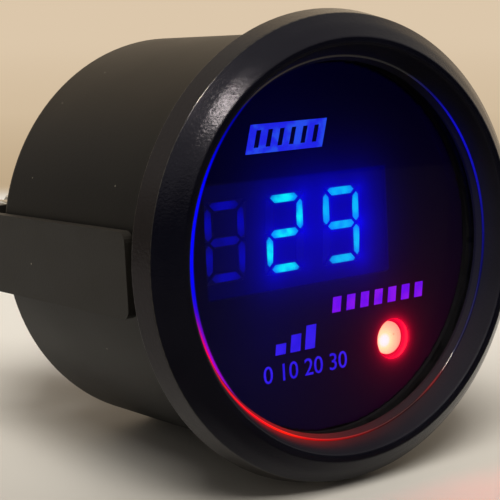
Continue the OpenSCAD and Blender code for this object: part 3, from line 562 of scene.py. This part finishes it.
def threadMesh(centre, end):
    # one tooth of the thread, wound up the stud and closed at both ends
    look = studLook
    thread = bmesh.new()
    half, crest, foot = look["root"] / 2, look["crest"] / 2, look["core"] - look["sunk"]
    ring = [thread.verts.new(((centre[0] + r) * mm, (look["start"] + y) * mm, centre[1] * mm)) for r, y in
            ((foot, -half), (look["major"], -crest), (look["major"], crest), (foot, half))]
    edges = [thread.edges.new(pair) for pair in zip(ring, ring[1:] + ring[:1])]
    steps = int((end - look["start"] - half) / look["pitch"] * look["steps"])
    bmesh.ops.spin(thread, geom=ring + edges, cent=(centre[0] * mm, 0, centre[1] * mm), axis=(0, 1, 0),
                   dvec=(0, look["pitch"] / look["steps"] * mm, 0), angle=2 * math.pi * steps / look["steps"],
                   steps=steps)
    bmesh.ops.holes_fill(thread, edges=[e for e in thread.edges if e.is_boundary], sides=4)
    limitRadius(thread, centre, end)
    mesh = bpy.data.meshes.new("thread")
    thread.to_mesh(mesh)
    thread.free()
    return mesh


def makeStuds():
    look = studLook
    low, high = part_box("mounting_studs")
    front, end = low[1] / mm, high[1] / mm
    for side in ("left", "right"):
        nutLow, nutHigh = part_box("thumb_nut_" + side)
        centre = [(nutLow[axis] + nutHigh[axis]) / 2 / mm for axis in (0, 2)]
        head = (high[0] - low[0]) / 2 / mm - abs(centre[0])
        neck = front + look["headHeight"]
        bm = bmesh.new()
        spinProfile(bm, [(0, front), (head, front), (head, neck), (look["major"], neck),
                         (look["major"], look["start"] - look["runIn"]), (look["core"], look["start"]),
                         (look["core"], end - look["tip"]), (look["core"] - look["tip"], end), (0, end)],
                    centre, look["sides"])
        mesh = threadMesh(centre, end)
        bm.from_mesh(mesh)
        bpy.data.meshes.remove(mesh)
        stud = makePiece("threadedStud_" + side, bm, madeFinish["zincPlatedSteel"])
        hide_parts("mounting_studs")


makeStuds()
print("studs made")

markLook = {
    # printed marks of the face, mm: front of the print and its thickness, then each mark
    "front": 0.74, "depth": 0.05, "body": "#0a0a30", "rough": 0.4, "cloudFrom": 0.4, "cloudFull": 0.62,
    "tab": {"centre": (-5.6, 13.95), "size": (11.4, 3.4), "lean": 16, "edge": 0.7, "slot": 0.7, "slots": 6},
    "row": {"start": (0.9, -7.2), "pitch": 2.25, "size": (1.3, 1.9), "count": 7, "lean": 8},
    "bars": {"start": (-8.0, -12.0), "pitch": 2.3, "width": 1.5, "heights": (1.3, 2.1, 2.9), "lean": 8},
    "scale": {"words": "0 10 20 30", "size": 3.0, "centre": (-4.3, -14.3)},
    "inks": {
        "violetInk": {"bright": "#9a10ff", "dim": "#7a00ff", "cloud": 2.0},
        "blueVioletInk": {"bright": "#3a1cff", "dim": "#2c14f0", "cloud": 2.0},
        "tabBlueInk": {"bright": "#2a58ff", "dim": "#2228f8", "cloud": 1.6},
    },
}


def translucentInk(name):
    # screen printed ink lit from behind: flat colour, slightly uneven
    look = markLook["inks"][name]
    material, tree = newMaterial(name)
    place = addNode(tree, "TexCoord").outputs["Object"]
    cloud = addNode(tree, "TexNoise", {"Vector": place, "Scale": perMm(look["cloud"]), "Detail": 3.0})
    share = addNode(tree, "MapRange", {
        "Value": cloud, "From Min": markLook["cloudFrom"], "From Max": markLook["cloudFull"]}, **smooth)
    light = addNode(tree, "Mix", {0: share, 6: linear(look["dim"]), 7: linear(look["bright"])},
                    data_type="RGBA").outputs[2]
    shader = addNode(tree, "BsdfPrincipled", {
        "Base Color": linear(markLook["body"]), "Roughness": markLook["rough"],
        "Emission Color": light, "Emission Strength": 1.0})
    addNode(tree, "OutputMaterial", {"Surface": shader})
    return material


def addTile(bm, x, z, size, lean):
    # one slanted tile of print: a box across x and z, leaning like an italic
    depth = markLook["depth"]
    made = bmesh.ops.create_cube(bm, size=1.0)["verts"]
    bmesh.ops.scale(bm, vec=(size[0] * mm, depth * mm, size[1] * mm), verts=made)
    for v in made:
        v.co.x += v.co.z * math.tan(math.radians(lean))
    bmesh.ops.translate(bm, vec=(x * mm, (markLook["front"] + depth / 2) * mm, z * mm), verts=made)


def makeTab():
    # slanted tab at the top: two level edges, joined by tiles with dark slots between them
    look = markLook["tab"]
    x, z = look["centre"]
    width, height = look["size"]
    rise = (height - look["edge"]) / 2
    shift = math.tan(math.radians(look["lean"])) * rise
    tile = (width - look["slots"] * look["slot"]) / (look["slots"] + 1)
    bm = bmesh.new()
    for side in (-1, 1):
        addTile(bm, x + side * shift, z + side * rise, (width, look["edge"]), look["lean"])
    for i in range(look["slots"] + 1):
        addTile(bm, x - (width - tile) / 2 + i * (tile + look["slot"]), z, (tile, height - 2 * look["edge"]),
                look["lean"])
    makePiece("topMark", bm, translucentInk("tabBlueInk"))


def makeScale(ink):
    # plain numbers of a scale, made a mesh before they get their place
    look = markLook["scale"]
    depth = markLook["depth"] * mm
    curve = bpy.data.curves.new("scaleNumbers", "FONT")
    curve.body = look["words"]
    curve.size = look["size"] * mm
    curve.extrude = depth / 2
    curve.align_x, curve.align_y = "CENTER", "CENTER"
    text = bpy.data.objects.new("scaleNumbers", curve)
    scene.collection.objects.link(text)
    bpy.context.view_layer.update()
    mesh = bpy.data.meshes.new_from_object(text.evaluated_get(bpy.context.evaluated_depsgraph_get()))
    bpy.data.objects.remove(text)
    centre = (look["centre"][0] * mm, markLook["front"] * mm + depth / 2, look["centre"][1] * mm)
    mesh.transform(Matrix.Translation(centre) @ Matrix.Rotation(math.pi / 2, 4, "X"))
    bm = bmesh.new()
    bm.from_mesh(mesh)
    bpy.data.meshes.remove(mesh)
    bmesh.ops.remove_doubles(bm, verts=bm.verts, dist=0.0005 * mm)
    makePiece("lowerMark", bm, ink)


def makeMarks():
    makeTab()
    row = markLook["row"]
    bm = bmesh.new()
    for i in range(row["count"]):
        addTile(bm, row["start"][0] + i * row["pitch"], row["start"][1], row["size"], row["lean"])
    makePiece("upperMark", bm, translucentInk("violetInk"))
    bars = markLook["bars"]  # three rising bars
    bm = bmesh.new()
    for i, high in enumerate(bars["heights"]):
        addTile(bm, bars["start"][0] + i * bars["pitch"], bars["start"][1] + high / 2, (bars["width"], high),
                bars["lean"])
    ink = translucentInk("blueVioletInk")
    makePiece("middleMark", bm, ink)
    makeScale(ink)


makeMarks()
print("marks made")

veilLook = {
    # clear film over the face that carries the display's and the lamp's scattered light, painted as emission:
    # radius, place and mesh width in mm
    "radius": 22.5, "place": 0.62, "step": 0.3,
    "close": (0.33, 1.5), "wide": (0.02, 6.0),  # blue round each lit bar: strength and reach
    "box": ((-18.1, 9.5), (-4.2, 9.1)), "inBox": 0.03, "outside": 0.6,  # the display moulding holds more
    "lampHole": 2.6, "inHole": 1.1, "red": ((0.55, 0.4), (0.1, 1.5), (0.024, 7.0)), "redToBlue": 0.03,
    "haze": 0.006, "hazeSpots": ((0.03, 8.0, (-10, -10)), (0.02, 6.0, (-8, 13))),
}


def litBars():
    # centre lines of the lit bars, as ends in x and z, worked out from the figures 2 and 9
    cx, cz = digits["centre"]
    w, h = [(side - digits["bar"]) / 2 for side in digits["size"]]
    ends = {"a": ((-w, h), (w, h)), "b": ((w, h), (w, 0)), "c": ((w, 0), (w, -h)), "d": ((-w, -h), (w, -h)),
            "e": ((-w, 0), (-w, -h)), "f": ((-w, h), (-w, 0)), "g": ((-w, 0), (w, 0))}
    return [[(cx + place * digits["pitch"] + x, cz + z) for x, z in ends[letter]]
            for place, figure in enumerate(("abged", "abcdfg")) for letter in figure]


def distanceTo(x, z, a, b):
    dx, dz = b[0] - a[0], b[1] - a[1]
    t = max(0.0, min(1.0, ((x - a[0]) * dx + (z - a[1]) * dz) / (dx * dx + dz * dz)))
    return math.hypot(x - a[0] - t * dx, z - a[1] - t * dz)


def glowAt(x, z, bars):
    # a close halo round each lit bar, a wide one round all of them, the lamp's red and a faint haze
    look = veilLook
    nearest = [distanceTo(x, z, a, b) for a, b in bars]
    close = look["close"][0] * sum(math.exp(-d / look["close"][1]) for d in nearest)
    wide = look["wide"][0] * sum(math.exp(-(d / look["wide"][1]) ** 2) for d in nearest)
    (left, right), (low, high) = look["box"]
    inBox = left < x < right and low < z < high
    blue = close + wide + look["inBox"] if inBox else (close + wide) * look["outside"]
    past = math.hypot(x - lampCentre[0], z - lampCentre[1]) - look["lampHole"]
    red = sum(share * math.exp(-past / reach) for share, reach in look["red"]) if past > 0 else look["inHole"]
    haze = sum(share * math.exp(-math.hypot(x - spot[0], z - spot[1]) / reach)
               for share, reach, spot in look["hazeSpots"])
    return red, 0.0, blue + look["haze"] + haze + look["redToBlue"] * red


def scatteringFilm(name):
    # clear film: adds the painted scattered light to what is seen through it
    material, tree = newMaterial(name)
    light = addNode(tree, "Attribute", attribute_name="glow").outputs["Color"]
    added = addNode(tree, "Emission", {"Color": light, "Strength": 1.0})
    both = addNode(tree, "AddShader", {0: addNode(tree, "BsdfTransparent"), 1: added})
    addNode(tree, "OutputMaterial", {"Surface": both})
    return material


def paintGlow(piece, colourAt):
    # the light that each point of a film carries
    attribute = piece.data.color_attributes.new("glow", "FLOAT_COLOR", "POINT")
    for v, value in zip(piece.data.vertices, attribute.data):
        value.color = (*colourAt(v.co.x / mm, v.co.z / mm), 1.0)


def makeVeil():
    radius = veilLook["radius"]
    count = int(2 * radius / veilLook["step"])
    bm = bmesh.new()
    bmesh.ops.create_grid(bm, x_segments=count, y_segments=count, size=radius * mm)
    bmesh.ops.rotate(bm, cent=(0, 0, 0), matrix=Matrix.Rotation(math.pi / 2, 3, "X"), verts=bm.verts)
    outside = [v for v in bm.verts if v.co.length > radius * mm]
    bmesh.ops.delete(bm, geom=outside, context="VERTS")
    bmesh.ops.translate(bm, vec=(0, veilLook["place"] * mm, 0), verts=bm.verts)
    piece = makePiece("scatteringFilm", bm, scatteringFilm("scatteringFilm"))
    bars = litBars()
    paintGlow(piece, lambda x, z: glowAt(x, z, bars))


makeVeil()
print("scattering film made")

rimLook = {
    # painted light at the rim of the window, blue and red emission on a ring: radii of the ring, and where
    # along it the band is widest
    "inner": 20.8, "outer": 22.48, "place": -1.31, "rings": 20, "steps": 240,
    "band": 21.2, "widest": 172, "narrowing": 3.0, "soft": 0.16,
    # each stretch of it: middle and half length in degrees, how steeply it ends, and its strength
    "blue": ((168, 28, 4, 1.0), (128, 16, 2, 0.25)), "red": (216, 19, 4, 1.0), "blueUnderRed": 0.6,
    "outerFrom": 0.3, "outerTo": 0.42, "innerRed": 0.3,  # the red runs along the outer side of the band
}


def smoothStep(value, low, high):
    share = max(0.0, min(1.0, (value - low) / (high - low)))
    return share * share * (3 - 2 * share)


def stretchAt(turn, stretch):
    middle, half, steepness, strength = stretch
    return strength * math.exp(-((turn - middle) / half) ** steepness)


def rimGlowAt(x, z):
    look = rimLook
    away = math.hypot(x, z)
    turn = math.degrees(math.atan2(z, x)) % 360
    start = look["band"] + look["narrowing"] * (1 - math.cos(math.radians(turn - look["widest"])))
    share = smoothStep(away, start, start + look["soft"])
    outer = smoothStep(away, start + look["outerFrom"], start + look["outerTo"])
    lowerLeft = stretchAt(turn, look["red"])
    red = lowerLeft * (outer + look["innerRed"] * (1 - outer))
    blue = sum(stretchAt(turn, stretch) for stretch in look["blue"])
    blue = min(1.0, blue + look["blueUnderRed"] * lowerLeft) * (1 - outer * lowerLeft)
    return share * red, 0.0, share * blue


def makeRimLight():
    look = rimLook
    width = (look["outer"] - look["inner"]) / look["rings"]
    bm = bmesh.new()
    spinProfile(bm, [(look["inner"] + i * width, look["place"]) for i in range(look["rings"] + 1)], (0, 0),
                look["steps"])
    paintGlow(makePiece("windowRimLight", bm, scatteringFilm("paintedRimLight")), rimGlowAt)


makeRimLight()
print("rim light made")

stageLook = {
    # the gauge lies on its bezel and on its rear edge: their heights and the length between them, mm
    "front": 28.7, "rearDrop": 26.0, "rearAt": 35.8,
    # the sheet: degrees it is turned by, then metres from here on
    "turn": 36, "size": 1.0, "fold": 0.3, "foldSteps": 16, "rough": 0.55, "specular": 0.3,
    # mirrored is a painted reflection: the dark tone that reflections see on the table in front of the gauge,
    # from nearFrom to nearTo
    "wallFrom": 0.205, "wallTo": 0.235, "mirrored": "#383432", "nearFrom": 0.002, "nearTo": -0.012,
    # painted shade: the table's tones grey towards the viewer and the wall's darken towards its foot
    "table": ((-0.03, "#a19b93"), (0.0, "#b8b3ab"), (0.07, "#dad5cd"), (0.2, "#ebe8e1")),
    "wall": ((0.235, "#bfa888"), (0.40, "#d2bc9e"), (0.75, "#dcc7ab")),
}


def paleLaminate():
    # satin laminate of the table: pale, with painted shade that greys it towards the viewer; behind it the
    # wall is warm paper, with painted shade darker towards its foot
    look = stageLook
    material, tree = newMaterial("paleLaminate")
    place = addNode(tree, "TexCoord").outputs["Object"]
    turned = addNode(tree, "Mapping", {"Vector": place, "Rotation": (0, 0, math.radians(look["turn"]))})
    along = addNode(tree, "SeparateXYZ", {0: turned}).outputs["Y"]
    tones = {}
    for key in ("table", "wall"):
        first, last = look[key][0][0], look[key][-1][0]
        part = addNode(tree, "MapRange", {"Value": along, "From Min": first, "From Max": last})
        stops = [((distance - first) / (last - first), linear(tone)) for distance, tone in look[key]]
        tones[key] = addNode(tree, "ValToRGB", {0: part}, stops)
    onWall = addNode(tree, "MapRange", {
        "Value": along, "From Min": look["wallFrom"], "From Max": look["wallTo"]}, **smooth)
    colour = addNode(tree, "Mix", {0: onWall, 6: tones["table"], 7: tones["wall"]},
                     data_type="RGBA").outputs[2]
    rays = addNode(tree, "LightPath").outputs
    # painted reflection: reflections see the table just in front of the gauge as a dark tone
    nearSide = addNode(tree, "MapRange", {
        "Value": addNode(tree, "SeparateXYZ", {0: place}).outputs["Y"],
        "From Min": look["nearFrom"], "From Max": look["nearTo"]}, **smooth)
    unseen = addNode(tree, "Math", {0: nearSide, 1: rays["Is Glossy Ray"]}, operation="MULTIPLY")
    colour = addNode(tree, "Mix", {0: unseen, 6: colour, 7: linear(look["mirrored"])},
                     data_type="RGBA").outputs[2]
    shader = addNode(tree, "BsdfPrincipled", {
        "Base Color": colour, "Roughness": look["rough"], "Specular IOR Level": look["specular"]})
    paper = addNode(tree, "Emission", {"Color": tones["wall"], "Strength": 1.0})
    seen = addNode(tree, "Math", {0: rays["Is Camera Ray"], 1: rays["Is Glossy Ray"]}, operation="MAXIMUM")
    share = addNode(tree, "Math", {0: onWall, 1: seen}, operation="MULTIPLY")
    both = addNode(tree, "MixShader", {0: share, 1: shader, 2: paper})
    addNode(tree, "OutputMaterial", {"Surface": both})
    return material


def makeStage():
    # table and wall in one sheet with a wide fold, tilted to lie under the gauge
    look = stageLook
    slope = math.atan((look["front"] - look["rearDrop"]) / look["rearAt"])
    bm = bmesh.new()
    bmesh.ops.create_grid(bm, x_segments=2, y_segments=2, size=look["size"])
    back = [e for e in bm.edges if all(v.co.y > 0.99 * look["size"] for v in e.verts)]
    made = bmesh.ops.extrude_edge_only(bm, edges=back)["geom"]
    raised = [g for g in made if isinstance(g, bmesh.types.BMVert)]
    bmesh.ops.translate(bm, vec=(0, 0, look["size"]), verts=raised)
    fold = [e for e in bm.edges if all(v.co.y > 0.99 * look["size"] and abs(v.co.z) < 0.001 for v in e.verts)]
    bmesh.ops.bevel(bm, geom=fold, offset=look["fold"], affect="EDGES", segments=look["foldSteps"],
                    profile=0.5, material=-1)
    tilt = Matrix.Translation((0, 0, -look["front"] * mm)) @ Matrix.Rotation(slope, 4, "X")
    turned = Matrix.Rotation(math.radians(-look["turn"]), 4, "Z")
    bmesh.ops.transform(bm, matrix=tilt @ turned, verts=bm.verts)
    mesh = bpy.data.meshes.new("tableAndWall")
    bm.to_mesh(mesh)
    bm.free()
    for face in mesh.polygons:
        face.use_smooth = True
    floor = bpy.data.objects.new("tableAndWall", mesh)
    scene.collection.objects.link(floor)
    mesh.materials.append(paleLaminate())


roomLook = {
    # the room's light, the tone seen behind, and the dark in front that the window mirrors, with where along
    # each direction it begins and is full: straight ahead, to the side, and from high up down to the level
    "strength": 0.42, "light": "#dcd8d2", "behind": "#bdb5a9", "inFront": "#0c0a10",
    "ahead": (-0.3, -0.5), "aside": (-0.2, -0.6), "asideShare": 0.6, "upTo": (0.5, 0.2),
}
lightPlan = {
    # place, width and power; the small bulbs show as highlights, the wide panel only lights
    "keyBulb": {"place": (-0.115, -0.37, 0.41), "width": 0.05, "power": 1.0, "tone": "#fff0d8"},
    "frontPanel": {"place": (-0.20, -0.30, 0.58), "width": 0.40, "power": 6.3, "tone": "#fffdf8"},
    "sideBulb": {"place": (-0.27, -0.13, 0.54), "width": 0.04, "power": 1.6, "tone": "#fff0dc"},
}
panelWidth = 0.1  # a light wider than this is a panel
redGlowLook = {"ahead": -7.0, "width": 4 * mm, "power": 0.0042, "tone": "#ff2018"}  # ahead is in mm


def makeRoom():
    world = bpy.data.worlds.new("room")
    world.use_nodes = True
    scene.world = world
    tree = world.node_tree
    towards = addNode(tree, "SeparateXYZ", {0: addNode(tree, "TexCoord").outputs["Generated"]}).outputs
    ahead, aside, level = [
        addNode(tree, "MapRange", {
            "Value": towards[axis], "From Min": roomLook[key][0], "From Max": roomLook[key][1]}, **smooth)
        for axis, key in (("Y", "ahead"), ("X", "aside"), ("Z", "upTo"))]
    lessAside = addNode(tree, "Math", {0: aside, 1: roomLook["asideShare"]}, operation="MULTIPLY")
    around = addNode(tree, "Math", {0: ahead, 1: lessAside}, operation="MAXIMUM")
    front = addNode(tree, "Math", {0: around, 1: level}, operation="MULTIPLY")
    rays = addNode(tree, "LightPath").outputs
    direct = addNode(tree, "Math", {0: rays["Is Camera Ray"], 1: rays["Is Glossy Ray"]}, operation="MAXIMUM")
    seen = addNode(tree, "Math", {0: direct, 1: rays["Is Transmission Ray"]}, operation="MAXIMUM")
    behind = tuple(c / roomLook["strength"] for c in linear(roomLook["behind"])[:3]) + (1.0,)
    room = addNode(tree, "Mix", {0: seen, 6: linear(roomLook["light"]), 7: behind},
                   data_type="RGBA").outputs[2]
    mirrored = addNode(tree, "Math", {0: front, 1: rays["Is Glossy Ray"]}, operation="MULTIPLY")
    colour = addNode(tree, "Mix", {0: mirrored, 6: room, 7: linear(roomLook["inFront"])},
                     data_type="RGBA").outputs[2]
    shade = tree.nodes["Background"]
    tree.links.new(colour, shade.inputs["Color"])
    shade.inputs["Strength"].default_value = roomLook["strength"]


def addLight(name, place, look):
    data = bpy.data.lights.new(name, "AREA")
    data.size, data.energy, data.color = look["width"], look["power"], linear(look["tone"])[:3]
    lamp = bpy.data.objects.new(name, data)
    scene.collection.objects.link(lamp)
    lamp.location = place
    lamp.visible_camera = False
    return lamp


def makeLights():
    target = Vector((0, 10 * mm, 0))
    for name, look in lightPlan.items():
        lamp = addLight(name, look["place"], look)
        lamp.rotation_mode = "QUATERNION"
        lamp.rotation_quaternion = (target - Vector(look["place"])).to_track_quat("-Z", "Y")
        lamp.visible_glossy = look["width"] < panelWidth
        lamp.visible_diffuse = look["width"] > panelWidth
    # the warning lamp's own red light on the table in front
    place = (lampCentre[0] * mm, redGlowLook["ahead"] * mm, lampCentre[1] * mm)
    red = addLight("redGlow", place, redGlowLook)
    red.rotation_euler = (math.radians(-90), 0, 0)


cameraLook = {
    "place": (-0.116075, -0.142532, 0.026442), "right": (0.80334, -0.59339, -0.05022),
    "up": (0.12412, 0.08437, 0.98867), "ahead": (0.58244, 0.80048, -0.14142),
    "lens": 110.36, "sensor": 36, "near": 0.005, "far": 10,
}


def makeCamera():
    look = cameraLook
    data = bpy.data.cameras.new("camera")
    data.lens = look["lens"]
    data.sensor_width = look["sensor"]
    data.clip_start, data.clip_end = look["near"], look["far"]
    camera = bpy.data.objects.new("camera", data)
    scene.collection.objects.link(camera)
    axes = Matrix((look["right"], look["up"], -Vector(look["ahead"]))).transposed()
    camera.matrix_world = Matrix.Translation(look["place"]) @ axes.to_4x4()
    scene.camera = camera


makeStage()
makeRoom()
makeLights()
makeCamera()
scene.view_settings.view_transform = "Standard"
print("stage, lights and camera made")
